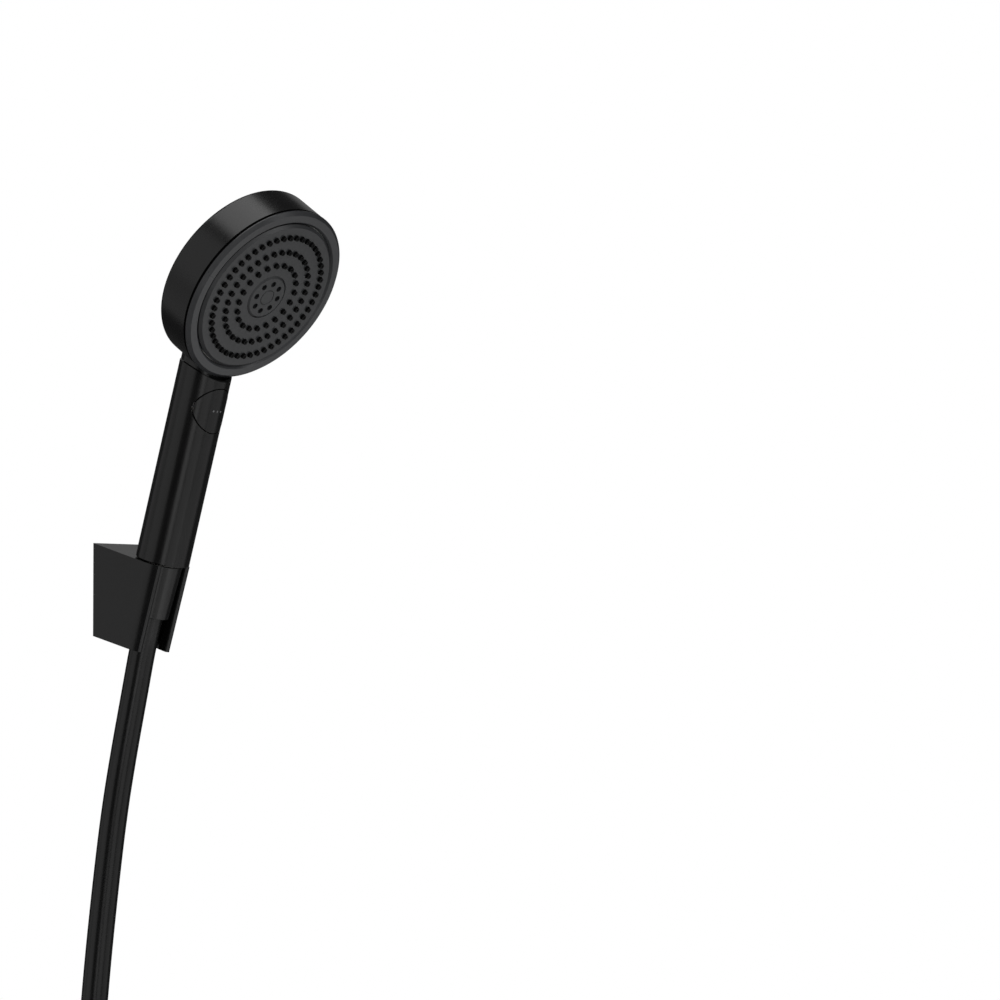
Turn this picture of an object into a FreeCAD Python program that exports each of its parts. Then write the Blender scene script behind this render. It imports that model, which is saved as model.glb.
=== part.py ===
import FreeCAD, Part
import Sketcher
import os
import sys
import math
from FreeCAD import Vector, Rotation, Placement

# Hand shower in a wall holder, with its hose.  Millimetres.
# Row frame: X along the wall, -Y into the room, +Z up, origin at the centre of
# the holder's back face, which lies on the wall plane Y = 0.
#
# The handle leans forward out of the holder.  Handle frame: z' runs up the
# handle axis, y' points at the wall, x' = X, and s is the distance above the
# holder's top face.  Head frame: z'' is the axis of the drum from the spray face
# to the back, y'' points down the face at the handle.

doc = FreeCAD.newDocument("hand_shower_set")
sheet = doc.addObject("Spreadsheet::Sheet", "Sheet")

lean = 16.94          # handle axis, forward of the vertical
face_dip = 34.83      # spray direction, below the horizontal
seat_out = 35.10      # holder top face, axis to wall
seat_high = 15.03     # holder top face on the axis, above the origin
hold_len = 49.2       # holder, along the handle axis
sl, cl = math.sin(math.radians(lean)), math.cos(math.radians(lean))

DIMS = [
    ("lean_angle", lean), ("head_angle", face_dip - lean), ("seat_out", seat_out), ("seat_high", seat_high),
    # drum
    ("head_radius", 52.5), ("head_back", 23.3), ("head_rim", 1.6), ("head_edge", 2.6), ("head_wall", 2.4),
    ("face_up", 159.17), ("face_out", 28.35),
    ("ring_radius", 52.65), ("ring_inner", 45.4), ("ring_proud", 2.5), ("ring_bevel", 2.0), ("skirt_radius", 49.9),
    ("disc_radius", 44.95), ("disc_proud", 3.2), ("disc_thick", 2.2),
    ("row_one", 37.4), ("row_two", 28.3), ("row_three", 20.0), ("row_four", 8.3),
    ("nub_base", 1.55), ("nub_tip", 1.4), ("nub_hole", 1.70), ("nub_bore", 0.45), ("nub_out", 4.7),
    ("insert_radius", 12.9),
    # neck and sleeve
    ("neck_radius", 14.6), ("saddle_radius", 54.3), ("saddle_gap", 0.35), ("saddle_tilt", 11.6),
    ("sleeve_radius", 15.0), ("sleeve_bore", 12.9), ("sleeve_bottom", 0.6),
    ("shoulder_radius", 39.2),
    # button and diverter
    ("button_s", 89.75), ("button_radius", 12.3), ("button_hole", 12.85), ("button_crown", 15.15), ("button_back", 8.5),
    ("plunger_radius", 3.0), ("rotor_radius", 7.6), ("rotor_thick", 4.0), ("housing_radius", 12.7),
    ("housing_low", 76.5), ("housing_high", 103.2),
    # inlet, nut, hose
    ("pipe_radius", 8.0), ("pipe_bore", 6.4), ("thread_radius", 10.43), ("thread_bore", 10.48),
    ("nut_top", 11.75), ("nut_low", 10.4), ("nut_len", 30.6), ("hose_radius", 7.35), ("nut_passage", 8.35),
    # holder
    ("hold_len", hold_len), ("hold_top_radius", 15.65), ("hold_low_radius", 15.15), ("hold_width", 36.0),
    ("wall_top_y", round((seat_out + 0.0 * sl) / cl, 4)), ("wall_low_y", round((seat_out - hold_len * sl) / cl, 4)),
    ("seat_top", 12.05), ("seat_low", 10.7), ("slot_half", 9.5), ("slot_edge", 1.7),
    ("plate_width", 29.0), ("plate_high", 42.0), ("plate_thick", 4.0), ("screw_pitch", 28.0), ("screw_hole", 5.0),
]
VAL = {}
for i, (alias, value) in enumerate(DIMS, 1):
    sheet.set("A%d" % i, alias)
    sheet.set("B%d" % i, repr(float(value)))
    sheet.setAlias("B%d" % i, alias)
    VAL[alias] = float(value)
doc.recompute()


class E:
    """A size: its value now, and the expression over the sheet that keeps it so."""

    def __init__(self, v, s):
        self.v, self.s = float(v), s

    @staticmethod
    def of(o):
        return o if isinstance(o, E) else E(o, repr(float(o)))

    def __add__(self, o):
        o = E.of(o)
        return E(self.v + o.v, "(%s + %s)" % (self.s, o.s))

    def __radd__(self, o):
        return E.of(o) + self

    def __sub__(self, o):
        o = E.of(o)
        return E(self.v - o.v, "(%s - %s)" % (self.s, o.s))

    def __rsub__(self, o):
        return E.of(o) - self

    def __mul__(self, o):
        o = E.of(o)
        return E(self.v * o.v, "(%s * %s)" % (self.s, o.s))

    __rmul__ = __mul__

    def __truediv__(self, o):
        o = E.of(o)
        return E(self.v / o.v, "(%s / %s)" % (self.s, o.s))


def d(alias):
    return E(VAL[alias], "Sheet." + alias)


def bind(obj, prop, e):
    if isinstance(e, E):
        setattr(obj, prop, e.v)
        obj.setExpression(prop, e.s)
    else:
        setattr(obj, prop, e)


XAX = Vector(1, 0, 0)
H = Placement(Vector(0, -seat_out, seat_high), Rotation(XAX, lean))        # handle frame, z' = s
LOW = 40.0                                                                   # revolved parts start 40 below the seat
H40 = H.multiply(Placement(Vector(0, 0, -LOW), Rotation()))
delta = face_dip - lean
HEAD_IN_H = Placement(Vector(0, -VAL["face_out"], VAL["face_up"]), Rotation(XAX, -(90.0 - delta)))
FWD = 10.0                                                                   # head parts start 10 in front of the face plane
HEAD10_IN_H = HEAD_IN_H.multiply(Placement(Vector(0, 0, -FWD), Rotation()))
HEAD10 = H.multiply(HEAD10_IN_H)
SADDLE_IN_H = Placement(Vector(0, -VAL["face_out"], VAL["face_up"]), Rotation(XAX, -(90.0 - VAL["saddle_tilt"])))
ACROSS = Rotation(XAX, -90.0)                                                # cylinder axis from z' to y'

NODES = []


def node(obj, name, place=None):
    obj.Label = name
    if place is not None:
        obj.Placement = place
    NODES.append((name, obj))
    return obj


def role(body, name):
    for f in body.Origin.OriginFeatures:
        if f.Role == name:
            return f
    raise RuntimeError(name)


def polygon(sk, pts):
    """Closed polygon in a sketch, each corner held from the sketch's origin."""
    pts = [(E.of(x), E.of(y)) for x, y in pts]
    n = len(pts)
    for i in range(n):
        a, b = pts[i], pts[(i + 1) % n]
        sk.addGeometry(Part.LineSegment(Vector(a[0].v, a[1].v, 0), Vector(b[0].v, b[1].v, 0)), False)
    for i in range(n):
        sk.addConstraint(Sketcher.Constraint("Coincident", i, 2, (i + 1) % n, 1))
    for i, (x, y) in enumerate(pts):
        for e, kind, axis in ((x, "DistanceX", -2), (y, "DistanceY", -1)):
            if abs(e.v) < 1e-9:
                sk.addConstraint(Sketcher.Constraint("PointOnObject", i, 1, axis))
            else:
                k = sk.addConstraint(Sketcher.Constraint(kind, -1, 1, i, 1, e.v))
                if "Sheet" in e.s:
                    sk.setExpression("Constraints[%d]" % k, e.s)


def revolved(name, pts):
    body = doc.addObject("PartDesign::Body", name + "_body")
    sk = body.newObject("Sketcher::SketchObject", name + "_profile")
    sk.AttachmentSupport = [(role(body, "XZ_Plane"), "")]
    sk.MapMode = "FlatFace"
    polygon(sk, pts)
    rev = body.newObject("PartDesign::Revolution", name + "_turned")
    rev.Profile = sk
    rev.ReferenceAxis = (sk, ["V_Axis"])
    rev.Angle = 360.0
    body.Tip = rev
    doc.recompute()
    return body


def prim(kind, name, place=None, **props):
    o = doc.addObject("Part::" + kind, name)
    for k, v in props.items():
        bind(o, k, v)
    if place is not None:
        o.Placement = place
    return o


def cyl(name, r, h, place=None):
    return prim("Cylinder", name, place, Radius=r, Height=h)


def box(name, x, y, z, place=None):
    return prim("Box", name, place, Length=x, Width=y, Height=z)


def at(x, y, z, rot=None):
    return Placement(Vector(x, y, z), rot or Rotation())


def cut(name, base, tool):
    o = doc.addObject("Part::Cut", name)
    o.Base, o.Tool = base, tool
    return o


def common(name, a, b):
    o = doc.addObject("Part::Common", name)
    o.Base, o.Tool = a, b
    return o


def fuse(name, *parts):
    o = doc.addObject("Part::MultiFuse", name)
    o.Shapes = list(parts)
    return o


def group(name, parts):
    o = doc.addObject("Part::Compound", name)
    o.Links = list(parts)
    return o


def ring_of(name, count, radius, make, phase=0.0):
    out = []
    for k in range(count):
        a = math.radians(phase + 360.0 * k / count)
        out.append(make("%s_%d" % (name, k), radius * math.cos(a), radius * math.sin(a)))
    return out


# ------------------------------------------------------------------ holder
def holder_sketch(body, name, z, radius, wall_y):
    sk = body.newObject("Sketcher::SketchObject", name)
    sk.AttachmentSupport = [(role(body, "XY_Plane"), "")]
    sk.MapMode = "FlatFace"
    sk.AttachmentOffset = at(0, 0, z)
    r, w, wy = radius.v, VAL["hold_width"] / 2, wall_y.v
    # tangent point of the line from (w, wy) to the front circle
    dist = math.hypot(w, wy)
    ang = math.atan2(wy, w) - math.acos(r / dist)
    tx, ty = r * math.cos(ang), r * math.sin(ang)
    arc = Part.ArcOfCircle(Part.Circle(Vector(0, 0, 0), Vector(0, 0, 1), r), math.pi - ang, 2 * math.pi + ang)
    sk.addGeometry(arc, False)
    sk.addGeometry(Part.LineSegment(Vector(tx, ty, 0), Vector(w, wy, 0)), False)
    sk.addGeometry(Part.LineSegment(Vector(w, wy, 0), Vector(-w, wy, 0)), False)
    sk.addGeometry(Part.LineSegment(Vector(-w, wy, 0), Vector(-tx, ty, 0)), False)
    C = Sketcher.Constraint
    sk.addConstraint(C("Coincident", 0, 3, -1, 1))
    k = sk.addConstraint(C("Radius", 0, r))
    sk.setExpression("Constraints[%d]" % k, radius.s)
    sk.addConstraint(C("Tangent", 0, 2, 1, 1))
    sk.addConstraint(C("Coincident", 1, 2, 2, 1))
    sk.addConstraint(C("Coincident", 2, 2, 3, 1))
    sk.addConstraint(C("Tangent", 3, 2, 0, 1))
    sk.addConstraint(C("Symmetric", 2, 1, 2, 2, -2))
    k = sk.addConstraint(C("DistanceX", 2, 2, 2, 1, 2 * w))
    sk.setExpression("Constraints[%d]" % k, "Sheet.hold_width")
    k = sk.addConstraint(C("DistanceY", -1, 1, 2, 1, wy))
    sk.setExpression("Constraints[%d]" % k, wall_y.s)
    return sk


hb = doc.addObject("PartDesign::Body", "holder_block")
s_top = holder_sketch(hb, "holder_top_outline", 0.0, d("hold_top_radius"), d("wall_top_y"))
s_low = holder_sketch(hb, "holder_low_outline", -hold_len, d("hold_low_radius"), d("wall_low_y"))
loft = hb.newObject("PartDesign::AdditiveLoft", "holder_loft")
loft.Profile = s_top
loft.Sections = [s_low]
loft.Ruled = True
hb.Tip = loft
doc.recompute()
slot = box("holder_slot", d("slot_half") * 2, 30.0, d("hold_len") + 20, at(-VAL["slot_half"], -30, -hold_len - 10))
seat = prim("Cone", "holder_seat", at(0, 0, -hold_len - 0.001),
            Radius1=d("seat_top") - (d("seat_top") - d("seat_low")) * (hold_len / VAL["nut_len"]) + 0.0,
            Radius2=d("seat_top"), Height=d("hold_len") + 0.002)
# the hollow behind the seat that takes the wall plate, and the grub screw's hole, lie square to the wall
TO_H = H.inverse()
hollow = box("holder_hollow", d("plate_width") + 0.6, d("plate_thick") + 1.2, d("plate_high") + 0.6,
             TO_H.multiply(at(-VAL["plate_width"] / 2 - 0.3, -VAL["plate_thick"] - 0.2, -VAL["plate_high"] / 2 - 0.3)))
grub_hole = cyl("holder_grub_hole", 1.7, 12.0, TO_H.multiply(at(0, -2.6, -30)))
hcut = cut("holder_cut", hb, fuse("holder_tools", slot, seat, hollow, grub_hole))
doc.recompute()


def edges_where(shape, test):
    out = []
    for i, e in enumerate(shape.Edges, 1):
        m = e.valueAt((e.FirstParameter + e.LastParameter) / 2)
        if test(e, m):
            out.append(i)
    return out


mid = -hold_len / 2
outer = edges_where(hcut.Shape, lambda e, m: e.Length > 30 and abs(abs(m.x) - 9.5) < 0.3 and m.y < -10)
inner = edges_where(hcut.Shape, lambda e, m: e.Length > 30 and abs(abs(m.x) - 9.5) < 0.3 and -9 < m.y < -2)
fil = doc.addObject("Part::Fillet", "holder_edges")
fil.Base = hcut
fil.Edges = [(i, VAL["slot_edge"], VAL["slot_edge"]) for i in outer] + [(i, 0.45, 0.45) for i in inner]
doc.recompute()
rim = edges_where(fil.Shape, lambda e, m: abs(m.z) < 0.01 and not (m.y < 0 and math.hypot(m.x, m.y) < 13.2) and e.Length > 1.0
                  and TO_H.inverse().multVec(m).y < -0.5 and math.hypot(m.x, m.y) > 14)
print("holder edges", outer, inner, rim)
node(fil, "holder_body", H)

# wall plate with two screw holes, one above the other
pb = doc.addObject("PartDesign::Body", "wall_plate_body")
sk = pb.newObject("Sketcher::SketchObject", "wall_plate_outline")
sk.AttachmentSupport = [(role(pb, "XY_Plane"), "")]
sk.MapMode = "FlatFace"
polygon(sk, [(0, 0), (d("plate_width"), 0), (d("plate_width"), d("plate_high")), (0, d("plate_high"))])
pad = pb.newObject("PartDesign::Pad", "wall_plate_pad")
pad.Profile = sk
pad.Length = VAL["plate_thick"]
pad.setExpression("Length", "Sheet.plate_thick")
doc.recompute()
corner = edges_where(pad.Shape, lambda e, m: abs(e.Length - VAL["plate_thick"]) < 1e-6)
pf = pb.newObject("PartDesign::Fillet", "wall_plate_corners")
pf.Base = (pad, ["Edge%d" % i for i in corner])
pf.Radius = 3.0
pb.Tip = pf
doc.recompute()
PLATE = Placement(Vector(-VAL["plate_width"] / 2, 0, -VAL["plate_high"] / 2), Rotation(XAX, 90))
holes = []
for k, sgn in enumerate((-1, 1)):
    c = at(VAL["plate_width"] / 2, VAL["plate_high"] / 2 + sgn * VAL["screw_pitch"] / 2, -1)
    holes.append(cyl("plate_hole_%d" % k, d("screw_hole") / 2, 8.0, c))
    c2 = at(VAL["plate_width"] / 2, VAL["plate_high"] / 2 + sgn * VAL["screw_pitch"] / 2, VAL["plate_thick"] - 2.0)
    holes.append(prim("Cone", "plate_sink_%d" % k, c2, Radius1=d("screw_hole") / 2, Radius2=d("screw_hole") / 2 + 2.3, Height=2.3))
dimple = prim("Cone", "plate_dimple", at(VAL["plate_width"] / 2, -0.01, 2.6, Rotation(XAX, -90)), Radius1=1.9, Radius2=0.6, Height=1.6)
plate = cut("wall_plate_cut", pb, fuse("wall_plate_tools", *(holes + [dimple])))
node(plate, "wall_bracket", PLATE)

# grub screw that holds the holder on its plate, from below
gb = revolved("grub", [(0, 0), (1.2, 0), (1.62, 0.4), (1.62, 4.6), (0.6, 5.9), (0, 5.9)])
gs = cut("grub_cut", gb, prim("Prism", "grub_socket", at(0, 0, -0.5), Polygon=6, Circumradius=0.9, Height=2.4))
node(gs, "holder_grub_screw", at(0, -2.6, -25.4))

# ------------------------------------------------------------------ head
R, B = d("head_radius"), d("head_back") + FWD
drum = revolved("drum", [(0, d("head_rim") + FWD), (R, d("head_rim") + FWD), (R, B), (0, B)])
rev = drum.Tip
back = edges_where(rev.Shape, lambda e, m: abs(e.Vertexes[0].Point.z - (VAL["head_back"] + FWD)) < 1e-6 and e.Length > 300)
dfil = drum.newObject("PartDesign::Fillet", "drum_back_edge")
dfil.Base = (rev, ["Edge%d" % i for i in back])
dfil.Radius = VAL["head_edge"]
dfil.setExpression("Radius", "Sheet.head_edge")
drum.Tip = dfil
drum.Placement = HEAD10_IN_H
neck = cyl("neck_bar", d("neck_radius"), 60.0, at(0, 0, 95))
shoulder = fuse("shoulder_limit",
                cyl("shoulder_round", d("shoulder_radius"), 80.0, Placement(Vector(-40, VAL["neck_radius"] - VAL["shoulder_radius"], 110.0), Rotation(Vector(0, 1, 0), 90))),
                box("shoulder_below", 80.0, 80.0, 60.0, at(-40, -50, 50)))
neck1 = common("neck_sloped", neck, shoulder)
front_space = box("front_space", 160.0, 160.0, 60.0, HEAD10_IN_H.multiply(at(-80, -80, VAL["head_rim"] + FWD - 60)))
neck2 = cut("neck_behind_rim", neck1, front_space)
saddle_in = cyl("saddle_inner", d("saddle_radius") - d("saddle_gap"), 160.0, SADDLE_IN_H.multiply(at(0, 0, -80)))
neck3 = common("neck_saddle", neck2, saddle_in)
spigot_a = cyl("spigot_low", d("sleeve_bore") - 0.12, 2.9, at(0, 0, 103.5))
spigot_b0 = cyl("spigot_high", d("sleeve_bore") - 0.12, 8.0, at(0, 0, 106.3))
spigot_b = cut("spigot_high_trim", spigot_b0, front_space)
boss = cyl("head_boss", 5.0, 13.0, HEAD10_IN_H.multiply(at(0, 0, 18.2)))
cavity = cyl("head_cavity", d("head_radius") - d("head_wall"), d("head_back") - d("head_wall") + 3.0 - 0.0, HEAD10_IN_H.multiply(at(0, 0, FWD - 3.0)))
bore = cyl("head_bore", 8.0, 18.0, at(0, 0, 99.5))
pilot = cyl("boss_pilot", 1.58, 9.5, HEAD10_IN_H.multiply(at(0, 0, 17.0)))
shell1 = fuse("head_blank", drum, neck3, spigot_a, spigot_b)
shell2 = cut("head_hollow", shell1, fuse("head_tools", cavity, bore))
shell3 = fuse("head_with_boss", shell2, boss)
shell4 = cut("head_piloted", shell3, pilot)
node(shell4, "head_shell", H)

ring = revolved("face_ring", [
    (d("ring_inner"), FWD - d("ring_proud") + 1.2), (d("ring_inner") + 1.2, FWD - d("ring_proud")), (d("ring_radius") - d("ring_bevel"), FWD - d("ring_proud")),
    (d("ring_radius"), FWD - 0.7), (d("ring_radius"), FWD - 0.15), (d("skirt_radius"), FWD - 0.15),
    (d("skirt_radius"), FWD + 4.6), (d("skirt_radius") - 1.4, FWD + 4.6), (d("skirt_radius") - 1.4, FWD + 6.8),
    (d("skirt_radius"), FWD + 6.8), (d("skirt_radius"), FWD + 9.0), (d("skirt_radius") - 2.1, FWD + 9.0),
    (d("skirt_radius") - 2.1, FWD + 0.2), (d("ring_inner"), FWD + 0.2)])
node(ring, "face_ring", HEAD10)
oring = prim("Torus", "head_oring_t", None, Radius1=d("skirt_radius") - 0.62, Radius2=0.74)
node(oring, "head_oring", HEAD10.multiply(at(0, 0, FWD + 5.7)))

ROWS = (("a", 48, "row_one", 0.0), ("b", 32, "row_two", 0.0), ("c", 20, "row_three", 4.5))
front = FWD - d("disc_proud")
disc = revolved("spray_disc", [
    (d("insert_radius") + 0.25, front), (d("disc_radius") - 1.5, front), (d("disc_radius"), front + 1.5),
    (d("disc_radius"), front + d("disc_thick")), (3.6, front + d("disc_thick")), (3.6, front + 1.3),
    (d("insert_radius") + 0.25, front + 1.3)])
hole_list, nub_list, bore_list, feed_list = [], [], [], []
for tag, count, row, phase in ROWS:
    hole_list += ring_of("hole_" + tag, count, VAL[row], lambda n, x, y: cyl(n, d("nub_hole"), 5.0, at(x, y, FWD - 5)), phase)
    nub_list += ring_of("nub_" + tag, count, VAL[row], lambda n, x, y: prim(
        "Cone", n, at(x, y, FWD - VAL["nub_out"]), Radius1=d("nub_tip"), Radius2=d("nub_base"), Height=d("nub_out") - 0.4), phase)
    bore_list += ring_of("bore_" + tag, count, VAL[row], lambda n, x, y: cyl(n, d("nub_bore"), 7.0, at(x, y, FWD - 6)), phase)
    feed_list += ring_of("feed_" + tag, count // 2, VAL[row], lambda n, x, y: cyl(n, 1.1, 5.0, at(x, y, FWD)), phase)
centre_feed = ring_of("centre_feed", 8, VAL["row_four"], lambda n, x, y: cyl(n, 1.2, 8.0, at(x, y, FWD - 3)))
node(cut("spray_disc_cut", disc, group("spray_holes", hole_list + ring_of("centre_hole", 8, VAL["row_four"], lambda n, x, y: cyl(n, 1.2, 5.0, at(x, y, FWD - 3))))),
     "spray_disc", HEAD10)
mat = revolved("nozzle_mat", [(3.6, FWD - 0.95), (44.9, FWD - 0.95), (44.9, FWD + 0.45), (3.6, FWD + 0.45)])
mat2 = fuse("mat_with_nubs", mat, *nub_list)
mat3 = cut("mat_bored", mat2, group("mat_bores", bore_list + ring_of("mat_feed", 8, VAL["row_four"], lambda n, x, y: cyl(n, 1.2, 5.0, at(x, y, FWD - 2)))))
node(mat3, "nozzle_mat", HEAD10)
dist_plate = revolved("distribution_plate", [(1.75, FWD + 0.5), (47.5, FWD + 0.5), (47.5, FWD + 2.5), (1.75, FWD + 2.5)])
node(cut("distribution_cut", dist_plate, group("plate_feeds", feed_list + centre_feed)), "distribution_plate", HEAD10)
z0, z1 = FWD + 2.6, FWD + 6.4
mani = revolved("manifold", [
    (1.75, z0), (4.6, z0), (4.6, z1), (13.0, z1), (13.0, z0), (14.2, z0), (14.2, z1), (23.4, z1), (23.4, z0), (24.6, z0), (24.6, z1),
    (32.2, z1), (32.2, z0), (33.4, z0), (33.4, z1), (46.0, z1), (46.0, z0), (47.5, z0), (47.5, z1 + 1.6), (1.75, z1 + 1.6)])
ports = group("manifold_ports", [cyl("port_%d" % k, 2.4, 6.0, at(x, y, z1 - 2)) for k, (x, y) in enumerate(((-7.5, 38.5), (0, 28.5), (6.5, 18.0)))])
node(cut("manifold_cut", mani, ports), "manifold_plate", HEAD10)
insert = revolved("centre_insert", [(0, front - 0.55), (d("insert_radius") - 1.0, front - 0.55), (d("insert_radius"), front + 0.2),
                                    (d("insert_radius"), front + 1.25), (0, front + 1.25)])
slots = group("insert_slots", ring_of("insert_hole", 8, VAL["row_four"], lambda n, x, y: cyl(n, 1.7, 6.0, at(x, y, FWD - 6))))
groove = prim("Torus", "insert_groove", at(0, 0, VAL["disc_proud"] * -1 + FWD - 0.55), Radius1=4.4, Radius2=0.35)
node(cut("insert_cut", insert, fuse("insert_tools", slots, groove)), "centre_insert", HEAD10)
cs = revolved("centre_screw", [(0, 8.3), (2.6, 8.3), (3.2, 8.9), (3.2, 10.45), (1.5, 10.45), (1.5, 24.0), (0.7, 25.4), (0, 25.4)])
cross = fuse("cross_recess", box("cross_a", 3.4, 0.7, 1.6, at(-1.7, -0.35, 8.0)), box("cross_b", 0.7, 3.4, 1.6, at(-0.35, -1.7, 8.0)))
node(cut("centre_screw_cut", cs, cross), "centre_screw", HEAD10)

# ------------------------------------------------------------------ handle
sleeve = revolved("handle_sleeve", [
    (d("sleeve_bore"), LOW + d("sleeve_bottom")), (d("sleeve_radius") - 0.5, LOW + d("sleeve_bottom")),
    (d("sleeve_radius"), LOW + d("sleeve_bottom") + 0.5), (d("sleeve_radius"), LOW + 122.0), (d("sleeve_bore"), LOW + 122.0)])
saddle_out = cyl("saddle_outer", d("saddle_radius") + d("saddle_gap"), 160.0, at(0, 0, LOW).multiply(SADDLE_IN_H.multiply(at(0, 0, -80))))
b_hole = cyl("sleeve_button_hole", d("button_hole"), 20.0, at(0, -20, LOW + VAL["button_s"], ACROSS))
node(cut("sleeve_cut", sleeve, fuse("sleeve_tools", saddle_out, b_hole)), "handle_sleeve", H40)

# push button: a round cap whose crown follows the handle, hollow behind
crown = cyl("button_crown_bar", d("button_crown"), 40.0, at(0, 0, VAL["button_s"] - 20))
cap0 = common("button_disc", cyl("button_plug", d("button_radius"), 20.0, at(0, -20 - VAL["button_back"], VAL["button_s"], ACROSS)), crown)
cap1 = cut("button_hollow", cap0, cyl("button_pocket", 6.2, 4.4, at(0, -VAL["button_back"] - 4.4, VAL["button_s"], ACROSS)))
node(cap1, "button_cap", H)
plg = revolved("button_plunger", [(0, 0), (d("plunger_radius"), 0), (d("plunger_radius"), 11.6), (2.2, 12.6), (0, 12.6)])
node(plg, "button_plunger", H.multiply(at(0, -12.85, VAL["button_s"], ACROSS)))

HS = VAL["button_s"]
hous = revolved("diverter_housing", [(0, LOW + d("housing_low")), (d("housing_radius"), LOW + d("housing_low")),
                                     (d("housing_radius"), LOW + d("housing_high")), (0, LOW + d("housing_high"))])
tools = fuse("housing_tools",
             box("housing_front", 40.0, 20.0, 26.0, at(-20, -25.6, LOW + HS - 13.0)),
             box("housing_room", 16.4, 11.6, 19.0, at(-8.2, -3.4, LOW + HS - 9.5)),
             cyl("housing_guide", d("plunger_radius") + 0.08, 6.0, at(0, -7.0, LOW + HS, ACROSS)),
             cyl("housing_pin_bore", 1.58, 3.0, at(0, 8.0, LOW + HS, ACROSS)),
             cyl("housing_inlet", 5.0, 6.0, at(0, 1.5, LOW + VAL["housing_low"] - 1)),
             cyl("housing_out_a", 1.9, 6.0, at(-5.2, 2.5, LOW + HS + 9.0)),
             cyl("housing_out_b", 1.9, 6.0, at(0, 5.2, LOW + HS + 9.0)),
             cyl("housing_out_c", 1.9, 6.0, at(5.2, 2.5, LOW + HS + 9.0)))
node(cut("housing_cut", hous, tools), "diverter_housing", H40)
seal = revolved("plunger_seal", [(d("plunger_radius") + 0.07, 0), (5.2, 0), (5.2, 1.3), (4.4, 1.6), (d("plunger_radius") + 0.07, 1.6)])
node(seal, "plunger_seal", H.multiply(at(0, -3.35, HS, ACROSS)))
rot = revolved("diverter_rotor", [(0, 0), (d("rotor_radius"), 0), (d("rotor_radius"), d("rotor_thick")), (1.5, d("rotor_thick")), (1.5, 6.6), (0, 6.6)])
rports = group("rotor_ports", ring_of("rotor_port", 3, 5.0, lambda n, x, y: cyl(n, 1.6, 8.0, at(x, y, -1)), 30))
node(cut("rotor_cut", rot, rports), "diverter_rotor", H.multiply(at(0, 3.9, HS, ACROSS)))

def rounded(route):
    """Straight runs joined by tangent arcs, each as large as its runs allow."""
    edges, here = [], route[0]
    radii = []
    for i in range(1, len(route) - 1):
        a, b, c = route[i - 1], route[i], route[i + 1]
        u, w = (b - a).normalize(), (c - b).normalize()
        turn = u.getAngle(w)
        lay = 0.45 * min(a.distanceToPoint(b), b.distanceToPoint(c))
        radii.append(round(lay / math.tan(turn / 2), 1))
        p, q = b - u * lay, b + w * lay
        m = (p + q) * 0.5
        bis = (m - b).normalize()
        rad = lay / math.tan(turn / 2)
        centre = b + bis * math.hypot(rad, lay)
        top = centre - bis * rad
        edges.append(Part.LineSegment(here, p).toShape())
        edges.append(Part.Arc(p, top, q).toShape())
        here = q
    edges.append(Part.LineSegment(here, route[-1]).toShape())
    return Part.Wire(edges), radii


def swept(wire, radius, start, along):
    c = Part.Wire([Part.Circle(start, along, radius).toShape()])
    return wire.makePipeShell([c], True, True)


# return spring between the housing and the cap: four turns of wire, each eight short bends
coil_h, coil_r, wire_r, turns = 6.4, 4.5, 0.35, 4
coil_route = [Vector(coil_r * math.cos(k * math.pi / 4), coil_r * math.sin(k * math.pi / 4), coil_h * k / (8 * turns)) for k in range(8 * turns + 1)]
coil_wire, _ = rounded(coil_route)
f = doc.addObject("Part::Feature", "button_spring_f")
f.Shape = swept(coil_wire, wire_r, coil_route[0], (coil_route[1] - coil_route[0]).normalize())
print("spring volume ratio", round(f.Shape.Volume / (math.pi * wire_r ** 2 * coil_wire.Length), 5))
node(f, "button_spring", H.multiply(at(0, -12.45, HS, ACROSS)))

pipe = revolved("water_tube", [(d("pipe_bore"), LOW + 18.3), (d("pipe_radius"), LOW + 18.3), (d("pipe_radius"), LOW + 70.0), (9.6, LOW + 71.0),
                               (9.6, LOW + 76.4), (d("pipe_bore"), LOW + 76.4)])
node(pipe, "water_tube", H40)
toring = group("tube_oring_pair", [prim("Torus", "tube_oring_%d" % k, at(0, 0, LOW + z), Radius1=8.85, Radius2=0.8) for k, z in enumerate((20.6, 22.6))])
inlet = revolved("inlet_fitting", [
    (d("pipe_bore"), LOW - 10.2), (d("thread_radius") - 0.7, LOW - 10.2), (d("thread_radius"), LOW - 9.5), (d("thread_radius"), LOW - 1.2),
    (9.5, LOW - 0.4), (9.5, LOW + 1.1), (12.6, LOW + 1.1), (12.6, LOW + 5.0), (11.6, LOW + 6.0), (11.6, LOW + 24.0), (9.75, LOW + 24.0), (9.75, LOW + 19.7),
    (8.15, LOW + 19.7), (8.15, LOW + 18.0), (d("pipe_bore"), LOW + 18.0)])
node(inlet, "inlet_fitting", H40)
node(toring, "tube_orings", H40)
strain = revolved("inlet_strainer", [(0, LOW - 8.6), (5.4, LOW - 8.6), (5.4, LOW - 10.15), (6.3, LOW - 10.15), (6.3, LOW - 7.8), (0, LOW - 7.8)])
mesh_holes = [cyl("mesh_0", 0.45, 3.0, at(0, 0, LOW - 9.5))]
for ringk, (cnt, rr) in enumerate(((6, 1.6), (12, 3.1), (16, 4.5))):
    mesh_holes += ring_of("mesh_%d" % (ringk + 1), cnt, rr, lambda n, x, y: cyl(n, 0.45, 3.0, at(x, y, LOW - 9.5)))
node(cut("strainer_cut", strain, group("strainer_mesh", mesh_holes)), "inlet_strainer", H40)
lim = revolved("flow_limiter", [(0, LOW - 7.0), (2.2, LOW - 7.0), (2.2, LOW - 5.4), (4.0, LOW - 5.4), (4.0, LOW - 7.6), (6.3, LOW - 7.6), (6.3, LOW - 3.8), (0, LOW - 3.8)])
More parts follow.
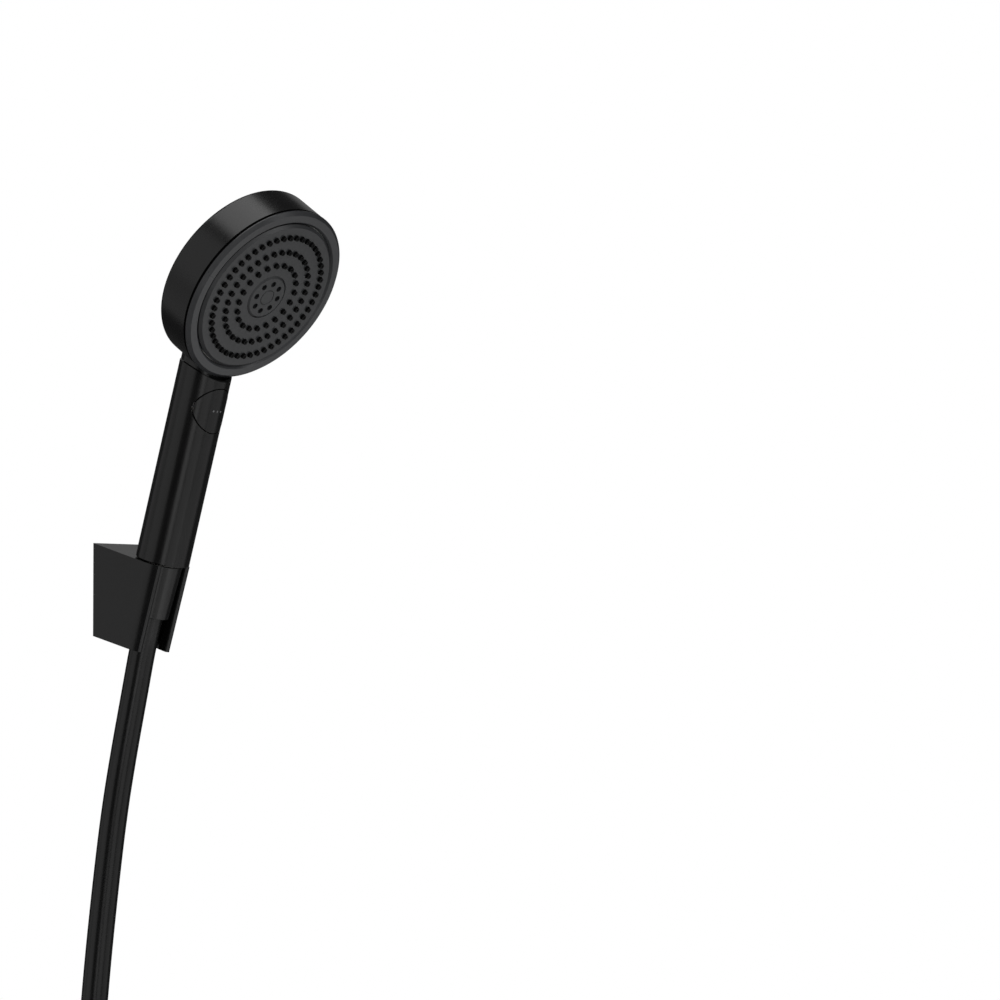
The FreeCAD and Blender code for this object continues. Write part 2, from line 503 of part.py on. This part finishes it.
node(cut("limiter_cut", lim, group("limiter_ports", ring_of("limiter_port", 6, 3.1, lambda n, x, y: cyl(n, 0.5, 6.0, at(x, y, LOW - 8))))), "flow_limiter", H40)

nl = d("nut_len")
taper = (d("nut_top") - d("nut_low")) / nl
nut = revolved("hose_nut", [
    (d("thread_bore"), LOW - 0.3), (d("nut_top") - 0.4, LOW - 0.3), (d("nut_top"), LOW - 0.7), (d("nut_low"), LOW - nl + 0.4), (d("nut_low") - 0.4, LOW - nl),
    (d("nut_passage"), LOW - nl), (d("nut_passage"), LOW - 15.1), (9.8, LOW - 15.1), (9.8, LOW - 10.6), (d("thread_bore"), LOW - 10.6)])
node(nut, "hose_nut", H40)

# ------------------------------------------------------------------ hose, fixed pieces at its top
gask = revolved("hose_gasket", [(5.5, LOW - 12.3), (9.5, LOW - 12.3), (9.5, LOW - 10.32), (5.5, LOW - 10.32)])
node(gask, "hose_gasket", H40)
fer = revolved("hose_ferrule", [(4.2, LOW - 12.4), (9.45, LOW - 12.4), (9.45, LOW - 14.85), (7.3, LOW - 14.85), (7.3, LOW - 19.0), (4.2, LOW - 19.0)])
node(fer, "hose_ferrule", H40)
slv = revolved("crimp_sleeve", [(7.42, LOW - 19.6), (8.05, LOW - 19.6), (8.05, LOW - 29.4), (7.42, LOW - 29.4)])
node(slv, "hose_crimp_sleeve", H40)

# ------------------------------------------------------------------ hose route
def on_axis(s):
    return H.multVec(Vector(0, 0, s))


HR = VAL["hose_radius"]
TURN_R = 78.0                       # coil, to the middle of its turns
TURN_X, TURN_Z = 47.0, -338.0       # centre of the coil
BACK_Y = -11.2                      # middle of the turn nearest the wall
PITCH = 15.4                        # one turn lies in front of the next
ROUTE = [on_axis(-19.02), on_axis(-50.0), Vector(-0.8, -14.9, -59.6), Vector(-4.1, -10.7, -89.6), Vector(-9.9, -9.0, -122.6),
         Vector(-16.9, -8.9, -165.0), Vector(-23.9, -8.95, -214.0), Vector(-29.2, -9.3, -262.0), Vector(-31.0, -10.3, -303.0), Vector(-31.05, -10.8, -336.0)]


wire, radii = rounded(ROUTE)
print("hose radii", radii, "runs", [round(ROUTE[i].distanceToPoint(ROUTE[i + 1]), 1) for i in range(len(ROUTE) - 1)])
tube = swept(wire, HR, ROUTE[0], (ROUTE[1] - ROUTE[0]).normalize())
print("hose length", round(wire.Length, 2), "volume ratio", round(tube.Volume / (math.pi * HR ** 2 * wire.Length), 5))

# the wound length: a round bundle of turns, one in front of the other
COIL_BACK, COIL_FRONT = BACK_Y + HR + 0.75, BACK_Y - PITCH * 1.75 - HR - 0.35
coil = Part.makeCylinder(TURN_R + HR + 0.3, COIL_BACK - COIL_FRONT, Vector(TURN_X, COIL_BACK, TURN_Z), Vector(0, -1, 0))
coil = coil.cut(Part.makeCylinder(TURN_R - HR - 0.3, 100, Vector(TURN_X, 20, TURN_Z), Vector(0, -1, 0)))
# the tube ends on a flat that touches the bundle's outside where the hose runs in
TOUCH = math.degrees(math.acos(TURN_R / (TURN_R + HR + 0.35)))
away = Vector(-math.cos(math.radians(TOUCH)), 0, math.sin(math.radians(TOUCH)))
flat = Part.makeBox(240.0, 240.0, 120.0, Vector(-120, -120, -120))
flat.Placement = Placement(Vector(TURN_X, 0, TURN_Z) + away * (TURN_R + HR + 0.35), Rotation(Vector(0, 0, 1), away)).multiply(flat.Placement)
tube = tube.cut(flat)
big = max(tube.Solids, key=lambda s: s.Volume)
print("hose pieces", len(tube.Solids), "kept share", round(big.Volume / tube.Volume, 4))
f = doc.addObject("Part::Feature", "hose_tube_f")
f.Shape = big
node(f, "hose_tube")

# the last turn ends at the top of the coil and runs on to -X into its ferrule and wall nut
END_Y = BACK_Y - PITCH * 1.75
END = Vector(TURN_X, END_Y, TURN_Z + TURN_R)
TAIL = Placement(END, Rotation(Vector(0, 0, 1), Vector(-1, -0.12, 0.21)))
tail_way = TAIL.Rotation.multVec(Vector(0, 0, 1))
TAIL_LEN = 54.0
tail = Part.makeCylinder(HR, TAIL_LEN, END, tail_way).cut(coil)
tail = max(tail.Solids, key=lambda q: q.Volume)
f = doc.addObject("Part::Feature", "tail_f")
f.Shape = tail
node(f, "hose_tail")
f = doc.addObject("Part::Feature", "coil_f")
f.Shape = coil
node(f, "hose_coil")

far_sleeve = revolved("wall_end_sleeve", [(7.42, 44.2), (8.05, 44.2), (8.05, 53.6), (7.42, 53.6)])
node(far_sleeve, "wall_end_sleeve", TAIL)
far_fer = revolved("wall_end_ferrule", [(4.2, 54.02), (7.3, 54.02), (7.3, 58.2), (9.45, 58.2), (9.45, 60.6), (4.2, 60.6)])
node(far_fer, "wall_end_ferrule", TAIL)
far_gasket = revolved("wall_end_gasket", [(5.5, 60.65), (9.5, 60.65), (9.5, 62.6), (5.5, 62.6)])
node(far_gasket, "wall_end_gasket", TAIL)
far_nut = revolved("wall_nut", [(8.4, 48.6), (11.2, 48.6), (12.0, 49.4), (12.0, 71.2), (11.4, 71.8), (d("thread_bore"), 71.8), (d("thread_bore"), 62.8),
                                (9.8, 62.8), (9.8, 57.9), (8.4, 57.9)])
flutes = group("wall_nut_flutes", ring_of("flute", 12, 12.6, lambda n, x, y: cyl(n, 1.1, 15.0, at(x, y, 51.6))))
node(cut("wall_nut_cut", far_nut, flutes), "wall_nut", TAIL)

# hook-and-loop tie round the turns at the top right of the coil
TIE_A = 38.0
tc = Vector(TURN_X + TURN_R * math.cos(math.radians(TIE_A)), (COIL_BACK + COIL_FRONT) / 2, TURN_Z + TURN_R * math.sin(math.radians(TIE_A)))
TIE = Placement(tc, Rotation(Vector(0, 1, 0), -TIE_A))
half_r, half_y = HR + 0.6, (COIL_BACK - COIL_FRONT) / 2 + 0.35
outer_box = box("tie_outer", 2 * half_r + 3.2, 2 * half_y + 3.2, 16.0, at(-half_r - 1.6, -half_y - 1.6, -8.0))
of_ = doc.addObject("Part::Fillet", "tie_outer_round")
of_.Base = outer_box
doc.recompute()
of_.Edges = [(k, 4.0, 4.0) for k in edges_where(outer_box.Shape, lambda e, m: abs(e.Length - 16.0) < 1e-6)]
inner_ring = cyl("tie_inner_a", TURN_R + half_r, 2 * half_y, TIE.inverse().multiply(Placement(Vector(TURN_X, tc.y + half_y, TURN_Z), Rotation(XAX, 90))))
inner_hole = cyl("tie_inner_b", TURN_R - half_r, 2 * half_y + 20, TIE.inverse().multiply(Placement(Vector(TURN_X, tc.y + half_y + 10, TURN_Z), Rotation(XAX, 90))))
node(cut("tie_cut", of_, cut("tie_room", inner_ring, inner_hole)), "coil_tie", TIE)

# ------------------------------------------------------------------ check and write
doc.recompute()
bad = [o.Name for o in doc.Objects if "Invalid" in o.State or "Error" in o.State]
os.makedirs("parts", exist_ok=True)
total = 0.0
for name, obj in NODES:
    sh = obj.Shape
    if sh.isNull() or not sh.isValid() or sh.Volume <= 0:
        bad.append(name)
        continue
    total += sh.Volume
    bb = sh.BoundBox
    print("%-20s solids %d  vol %9.1f  x %7.1f %7.1f  y %7.1f %7.1f  z %7.1f %7.1f" % (
        name, len(sh.Solids), sh.Volume, bb.XMin, bb.XMax, bb.YMin, bb.YMax, bb.ZMin, bb.ZMax))
if bad:
    print("FAILED", bad)
    sys.exit(1)
for old in os.listdir("parts"):
    if old.endswith(".step"):
        os.remove(os.path.join("parts", old))
for name, obj in NODES:
    obj.Shape.exportStep("parts/%s.step" % name)
print("nodes", len(NODES))
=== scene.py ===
import math

import bmesh
import bpy
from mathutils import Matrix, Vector


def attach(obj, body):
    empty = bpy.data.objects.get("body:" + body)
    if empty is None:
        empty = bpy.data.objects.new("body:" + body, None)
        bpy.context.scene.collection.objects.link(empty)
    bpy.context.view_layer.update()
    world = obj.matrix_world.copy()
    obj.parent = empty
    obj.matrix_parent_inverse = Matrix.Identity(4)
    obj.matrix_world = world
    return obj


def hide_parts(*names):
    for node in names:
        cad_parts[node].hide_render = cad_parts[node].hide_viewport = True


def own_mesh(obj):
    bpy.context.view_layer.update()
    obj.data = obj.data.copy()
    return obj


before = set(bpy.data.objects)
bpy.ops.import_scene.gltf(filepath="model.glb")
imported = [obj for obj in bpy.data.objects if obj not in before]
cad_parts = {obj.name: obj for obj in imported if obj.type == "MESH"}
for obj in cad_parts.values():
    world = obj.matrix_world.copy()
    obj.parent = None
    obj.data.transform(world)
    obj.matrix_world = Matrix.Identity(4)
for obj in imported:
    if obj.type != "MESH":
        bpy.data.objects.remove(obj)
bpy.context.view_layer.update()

# ------------------------------------------------------------------ camera
cam_data = bpy.data.cameras.new("camera")
cam = bpy.data.objects.new("camera", cam_data)
bpy.context.scene.collection.objects.link(cam)
cam.location = (-1.70141, -1.61495, -0.04400)
cam.rotation_euler = Vector((0.784374, 0.618982, 0.040243)).to_track_quat("-Z", "Y").to_euler()
cam_data.sensor_width = 36.0
cam_data.lens = 151.2
cam_data.clip_start = 0.05
cam_data.clip_end = 60.0
bpy.context.scene.camera = cam

# ------------------------------------------------------------------ hose
U = Vector((0.0, -0.29137, 0.95661))
SEAT = Vector((0.0, -0.0351, 0.01503))


CROWN_R = 0.01515


def on_axis(s):
    return SEAT + U * s


points = [on_axis(-0.01902), on_axis(-0.0340), on_axis(-0.0500)]
points += [Vector(p) for p in (
    (-0.0008, -0.0149, -0.0596), (-0.0041, -0.0107, -0.0896), (-0.0099, -0.0090, -0.1226), (-0.0169, -0.0089, -0.1650),
    (-0.0239, -0.00895, -0.2140), (-0.0292, -0.0093, -0.2620), (-0.0310, -0.0103, -0.3030))]
CENTRE_X, CENTRE_Z, TURN_R = 0.047, -0.338, 0.078
BACK_Y, PITCH = -0.0112, 0.0154
STEP = 18.0
turns = int((810 - 180) / STEP)
grow = 1.0 / math.cos(math.radians(STEP) / 2) ** 0.5
for k in range(turns + 1):
    a = 180.0 + STEP * k
    y = BACK_Y - PITCH * (a - 180.0) / 360.0
    r = TURN_R * grow
    points.append(Vector((CENTRE_X + r * math.cos(math.radians(a)), y, CENTRE_Z + r * math.sin(math.radians(a)))))
way = Vector((-1.0, -0.12, 0.21)).normalized()
end = Vector((0.047, -0.03815, -0.260))
points[-1] = end + Vector((0.0, 0.0, 0.0004))
points += [end + way * t for t in (0.020, 0.038, 0.054)]

curve = bpy.data.curves.new("hose", "CURVE")
curve.dimensions = "3D"
curve.bevel_depth = 1.0
curve.bevel_resolution = 10
curve.use_fill_caps = True
curve.resolution_u = 12
line = curve.splines.new("NURBS")
line.points.add(len(points) - 1)
for p, q in zip(line.points, points):
    p.co = (q.x, q.y, q.z, 1.0)
    p.radius = 0.00735
line.order_u = 3
line.use_endpoint_u = True
hose = bpy.data.objects.new("hose", curve)
bpy.context.scene.collection.objects.link(hose)
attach(hose, "hose")
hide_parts("hose_tube", "hose_tail", "hose_coil")


# ------------------------------------------------------------------ materials
def plastic(name, colour, rough, grain=900.0, bump=0.02, vary=0.06, spec=0.5, metal=0.0, coat=0.0, mottle=0.12, depth=0.00004, stretch=None):
    """A moulded surface: fine grain in the bump, slow variation in colour and roughness."""
    m = bpy.data.materials.new(name)
    m.use_nodes = True
    t = m.node_tree
    b = t.nodes["Principled BSDF"]
    b.inputs["Metallic"].default_value = metal
    b.inputs["Specular IOR Level"].default_value = spec
    b.inputs["Coat Weight"].default_value = coat
    b.inputs["Coat Roughness"].default_value = 0.2
    co = t.nodes.new("ShaderNodeTexCoord")
    mp = t.nodes.new("ShaderNodeMapping")
    if stretch:
        mp.inputs["Scale"].default_value = stretch
    t.links.new(co.outputs["Object"], mp.inputs["Vector"])
    slow = t.nodes.new("ShaderNodeTexNoise")
    slow.inputs["Scale"].default_value = 38.0
    slow.inputs["Detail"].default_value = 4.0
    t.links.new(mp.outputs["Vector"], slow.inputs["Vector"])
    fine = t.nodes.new("ShaderNodeTexNoise")
    fine.inputs["Scale"].default_value = grain
    fine.inputs["Detail"].default_value = 3.0
    t.links.new(mp.outputs["Vector"], fine.inputs["Vector"])
    ramp = t.nodes.new("ShaderNodeValToRGB")
    lo = [c * (1.0 - mottle) for c in colour]
    hi = [c * (1.0 + mottle) for c in colour]
    ramp.color_ramp.elements[0].position = 0.3
    ramp.color_ramp.elements[0].color = (*lo, 1.0)
    ramp.color_ramp.elements[1].position = 0.7
    ramp.color_ramp.elements[1].color = (*hi, 1.0)
    t.links.new(slow.outputs["Fac"], ramp.inputs["Fac"])
    t.links.new(ramp.outputs["Color"], b.inputs["Base Color"])
    rr = t.nodes.new("ShaderNodeMapRange")
    rr.inputs["From Min"].default_value = 0.3
    rr.inputs["From Max"].default_value = 0.7
    rr.inputs["To Min"].default_value = rough - vary / 2
    rr.inputs["To Max"].default_value = rough + vary / 2
    mix = t.nodes.new("ShaderNodeMath")
    mix.operation = "ADD"
    half = t.nodes.new("ShaderNodeMath")
    half.operation = "MULTIPLY"
    half.inputs[1].default_value = 0.5
    both = t.nodes.new("ShaderNodeMath")
    both.operation = "ADD"
    t.links.new(slow.outputs["Fac"], both.inputs[0])
    t.links.new(fine.outputs["Fac"], both.inputs[1])
    t.links.new(both.outputs[0], half.inputs[0])
    t.links.new(half.outputs[0], rr.inputs["Value"])
    t.nodes.remove(mix)
    t.links.new(rr.outputs["Result"], b.inputs["Roughness"])
    bp = t.nodes.new("ShaderNodeBump")
    bp.inputs["Strength"].default_value = bump
    bp.inputs["Distance"].default_value = depth
    t.links.new(fine.outputs["Fac"], bp.inputs["Height"])
    t.links.new(bp.outputs["Normal"], b.inputs["Normal"])
    return m


MATS = {
    "shell": plastic("satin_shell", (0.0048, 0.0048, 0.0050), 0.26, grain=1400, bump=0.10),
    "handle": plastic("satin_handle", (0.0045, 0.0045, 0.0046), 0.24, grain=1400, bump=0.25),
    "holder": plastic("satin_holder", (0.0045, 0.0045, 0.0046), 0.24, grain=1300, bump=0.30),
    "nut": plastic("satin_nut", (0.0045, 0.0045, 0.0046), 0.24, grain=1500, bump=0.2),
    "ring": plastic("anthracite_ring", (0.0300, 0.0312, 0.0338), 0.30, grain=1200, bump=0.25),
    "disc": plastic("matt_disc", (0.0290, 0.0300, 0.0320), 0.36, grain=1000, bump=0.4),
    "silicone": plastic("silicone", (0.0022, 0.0022, 0.0024), 0.60, grain=1800, bump=0.2, spec=0.15),
    "rubber": plastic("seal_rubber", (0.012, 0.012, 0.012), 0.6, grain=1200, bump=0.4),
    "acetal": plastic("acetal", (0.62, 0.62, 0.60), 0.4, grain=800, bump=0.2, mottle=0.03),
    "steel": plastic("turned_steel", (0.55, 0.55, 0.55), 0.3, grain=1500, bump=0.3, metal=1.0, mottle=0.04),
    "plate": plastic("sheet_steel", (0.50, 0.50, 0.50), 0.36, grain=700, bump=0.3, metal=1.0, mottle=0.05, stretch=(1.0, 1.0, 8.0)),
    "brass": plastic("turned_brass", (0.62, 0.45, 0.20), 0.3, grain=1200, bump=0.3, metal=1.0, mottle=0.05),
    "far_nut": plastic("coated_nut", (0.0048, 0.0048, 0.0049), 0.28, grain=1600, bump=0.3),
    "hose": plastic("satin_hose", (0.0048, 0.0048, 0.0049), 0.26, grain=900, bump=0.3),
    "print": plastic("dot_grey", (0.16, 0.16, 0.165), 0.45, grain=1500, bump=0.1),
    "tape": plastic("hook_and_loop", (0.018, 0.018, 0.018), 0.85, grain=2600, bump=1.0, depth=0.0003, spec=0.2),
}
USE = {
    "head_shell": "shell", "handle_sleeve": "handle", "button_cap": "handle", "hose_nut": "nut", "face_ring": "ring", "spray_disc": "disc",
    "centre_insert": "disc", "nozzle_mat": "silicone", "head_oring": "rubber", "plunger_seal": "rubber", "tube_orings": "rubber",
    "hose_gasket": "rubber", "wall_end_gasket": "rubber", "distribution_plate": "acetal", "manifold_plate": "acetal", "water_tube": "acetal",
    "inlet_fitting": "acetal", "diverter_housing": "acetal", "diverter_rotor": "acetal", "button_plunger": "acetal", "flow_limiter": "acetal",
    "centre_screw": "steel", "button_spring": "steel", "inlet_strainer": "steel", "hose_crimp_sleeve": "steel", "wall_end_sleeve": "steel",
    "holder_body": "holder", "wall_bracket": "plate", "holder_grub_screw": "steel", "hose_ferrule": "brass", "wall_end_ferrule": "brass",
    "wall_nut": "far_nut", "coil_tie": "tape"}
for node, key in USE.items():
    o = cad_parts[node]
    if not o.material_slots:
        o.data.materials.append(MATS[key])
    for s in o.material_slots:
        s.material = MATS[key]
curve.materials.append(MATS["hose"])


# ------------------------------------------------------------------ three raised dots on the button
dots = bmesh.new()
crown = SEAT + U * 0.0897
front = Vector((0.0, -0.95661, -0.29137))
side = Vector((1.0, 0.0, 0.0))
for k in (-1, 0, 1):
    a = k * 0.185
    out = front * math.cos(a) + side * math.sin(a)
    across = U.cross(out)
    foot = crown + out * (CROWN_R - 0.00006)
    rows = []
    for j in range(6):
        e = math.radians(90.0) * j / 5
        lift, wide = 0.00030 * math.sin(e), 0.00062 * math.cos(e)
        if j == 5:
            rows.append([dots.verts.new(foot + out * lift)])
        else:
            rows.append([dots.verts.new(foot + out * lift + (U * math.cos(t) + across * math.sin(t)) * wide) for t in (2 * math.pi * i / 24 for i in range(24))])
    dots.faces.new(list(reversed(rows[0])))
    for j in range(4):
        for i in range(24):
            dots.faces.new((rows[j][i], rows[j][(i + 1) % 24], rows[j + 1][(i + 1) % 24], rows[j + 1][i]))
    for i in range(24):
        dots.faces.new((rows[4][i], rows[4][(i + 1) % 24], rows[5][0]))
bmesh.ops.recalc_face_normals(dots, faces=dots.faces)
dots_mesh = bpy.data.meshes.new("button_dots")
dots.to_mesh(dots_mesh)
dots.free()
for f in dots_mesh.polygons:
    f.use_smooth = True
button_dots = bpy.data.objects.new("button_dots", dots_mesh)
bpy.context.scene.collection.objects.link(button_dots)
dots_mesh.materials.append(MATS["print"])
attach(button_dots, "button")


# ------------------------------------------------------------------ button spring, a copy of the CAD coil on a mesh of its own, with its reach along the press direction measured
PRESS = Vector((0.0, 0.95661, 0.29137))
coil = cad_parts["button_spring"]
spring_mesh = coil.data.copy()
spring_mesh.name = "press_spring"
spring_mesh.materials.clear()
spring_mesh.materials.append(MATS["steel"])
spring = bpy.data.objects.new("press_spring", spring_mesh)
bpy.context.scene.collection.objects.link(spring)
spring.matrix_world = coil.matrix_world.copy()
reach = [(coil.matrix_world @ v.co).dot(PRESS) for v in spring_mesh.vertices]
far_in, length = max(reach), max(reach) - min(reach)
heel = crown + front * CROWN_R
heel = heel + PRESS * (far_in - heel.dot(PRESS))
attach(spring, "hand_shower")
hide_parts("button_spring")
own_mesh(spring)


# ------------------------------------------------------------------ floor, world and lights
floor_mesh = bpy.data.meshes.new("floor")
n = 96
ring = [(3.0 * math.cos(2 * math.pi * k / n), 3.0 * math.sin(2 * math.pi * k / n), -1.95) for k in range(n)]
floor_mesh.from_pydata(ring, [], [tuple(range(n))])
floor = bpy.data.objects.new("floor", floor_mesh)
bpy.context.scene.collection.objects.link(floor)
fm = bpy.data.materials.new("floor")
fm.use_nodes = True
fm.node_tree.nodes["Principled BSDF"].inputs["Base Color"].default_value = (0.86, 0.86, 0.86, 1)
fm.node_tree.nodes["Principled BSDF"].inputs["Roughness"].default_value = 0.9
glow = fm.node_tree.nodes.new("ShaderNodeLightPath")
lift = fm.node_tree.nodes.new("ShaderNodeMath")
lift.operation = "MULTIPLY"
lift.inputs[1].default_value = 0.42
fm.node_tree.links.new(glow.outputs["Is Camera Ray"], lift.inputs[0])
fm.node_tree.nodes["Principled BSDF"].inputs["Emission Color"].default_value = (1, 1, 1, 1)
fm.node_tree.links.new(lift.outputs[0], fm.node_tree.nodes["Principled BSDF"].inputs["Emission Strength"])
floor_mesh.materials.append(fm)

world = bpy.data.worlds.new("studio")
bpy.context.scene.world = world
world.use_nodes = True
wt = world.node_tree
bg = wt.nodes["Background"]
bg.inputs["Color"].default_value = (1, 1, 1, 1)
bg.inputs["Strength"].default_value = 1.0
dim = wt.nodes.new("ShaderNodeBackground")
dim.inputs["Color"].default_value = (1, 1, 1, 1)
dim.inputs["Strength"].default_value = 0.04
lp = wt.nodes.new("ShaderNodeLightPath")
mixw = wt.nodes.new("ShaderNodeMixShader")
wt.links.new(lp.outputs["Is Camera Ray"], mixw.inputs["Fac"])
wt.links.new(dim.outputs["Background"], mixw.inputs[1])
wt.links.new(bg.outputs["Background"], mixw.inputs[2])
wt.links.new(mixw.outputs["Shader"], wt.nodes["World Output"].inputs["Surface"])
bpy.context.scene.view_settings.view_transform = "Standard"


def softbox(name, phi, elev, reach, size, glow, aim=(0.0, -0.06, 0.06)):
    """A rectangular panel, phi degrees to the right of the camera and elev above the horizon as seen from the shower, glow its radiance."""
    back = Vector((-0.784374, -0.618982, 0.0)).normalized()
    right = Vector((0.618982, -0.784374, 0.0)).normalized()
    p, e = math.radians(phi), math.radians(elev)
    way = (back * math.cos(p) + right * math.sin(p)) * math.cos(e) + Vector((0, 0, 1)) * math.sin(e)
    at = Vector(aim) + way * reach
    d = bpy.data.lights.new(name, "AREA")
    d.shape = "RECTANGLE"
    d.size, d.size_y = size
    d.energy = glow * math.pi * size[0] * size[1]
    o = bpy.data.objects.new(name, d)
    o.location = at
    turn = (-way).to_track_quat("-Z", "Y")
    o.rotation_euler = turn.to_euler()
    o.visible_camera = False
    bpy.context.scene.collection.objects.link(o)
    return o


# panels stand round the shower as in a product studio, with a dark gap between the left ones and the middle one
softbox("left_far", -100.0, 10.0, 3.0, (1.9, 4.2), 0.30)
softbox("left", -59.0, 12.0, 3.0, (2.45, 4.6), 0.49)
softbox("middle", 3.5, -16.0, 3.0, (0.86, 2.6), 0.96)
softbox("right", 36.0, -12.0, 3.0, (1.9, 3.0), 0.55)
softbox("right_far", 88.0, -12.0, 3.0, (2.9, 3.2), 0.38)
softbox("over", -60.0, 82.0, 2.4, (1.9, 1.9), 1.68)
softbox("upper_right", 52.0, 30.0, 3.2, (3.0, 1.2), 2.6)
softbox("under", 85.0, -48.0, 2.4, (2.8, 1.3), 0.84)
softbox("behind", 180.0, 24.0, 3.0, (2.6, 1.1), 0.22)

bpy.context.view_layer.update()
